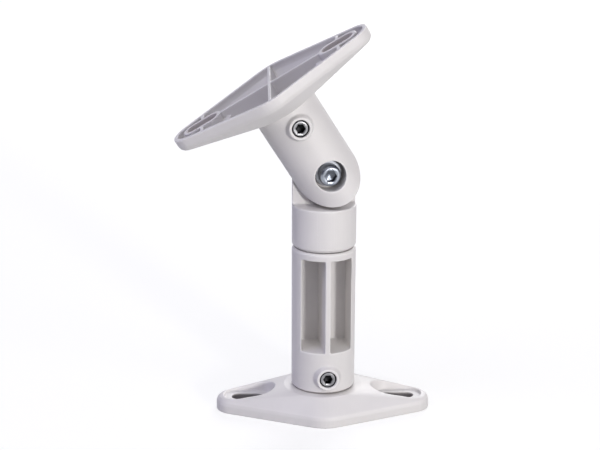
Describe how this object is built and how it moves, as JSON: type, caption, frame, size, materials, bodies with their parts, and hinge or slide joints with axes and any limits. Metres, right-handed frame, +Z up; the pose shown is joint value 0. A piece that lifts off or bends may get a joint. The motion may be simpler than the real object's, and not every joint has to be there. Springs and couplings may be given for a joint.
{
  "type": "tilt and swivel mounting bracket",
  "caption": "White moulded bracket with a slotted base plate, ribbed post and half-lap tilt knuckle, carrying a ribbed plate for a small camera or speaker.",
  "frame": {"origin": "centre of the base plate's seating face", "axes": "+Z up along the post, +X along the base plate's long axis through both slots"},
  "size_m": [0.1198, 0.059, 0.1854],
  "materials": {
    "white_plastic": "fine satin",
    "screw_steel": "zinc plated",
    "set_screw_steel": "dark oxide",
    "fibre": "matt"
  },
  "bodies": {
    "base": {"base_plate": "white_plastic"},
    "post": {"extension_post": "white_plastic", "base_clamp_screw": "set_screw_steel"},
    "knuckle": {"lower_knuckle": "white_plastic", "swivel_clamp_screw": "set_screw_steel", "pivot_bolt": "screw_steel", "pivot_washer": "screw_steel", "pivot_nut": "screw_steel", "friction_washer": "fibre"},
    "arm": {"tilt_arm": "white_plastic", "device_clamp_screw": "set_screw_steel"},
    "head": {"device_plate": "white_plastic"}
  },
  "joints": [
    {"name": "base_swivel", "type": "hinge", "parent": "base", "child": "post", "pos_m": [0, 0, 0.012], "axis": [0, 0, 1], "continuous": true},
    {"name": "knuckle_swivel", "type": "hinge", "parent": "post", "child": "knuckle", "pos_m": [0, 0, 0.081], "axis": [0, 0, 1], "continuous": true},
    {"name": "tilt", "type": "hinge", "parent": "knuckle", "child": "arm", "pos_m": [0, 0, 0.1175], "axis": [0.1616, -0.9869, 0], "range_deg": [-122.3, 57.7]},
    {"name": "device_turn", "type": "hinge", "parent": "arm", "child": "head", "pos_m": [0, 0, 0.1175], "axis": [-0.5273, -0.0864, 0.8453], "continuous": true}
  ]
}
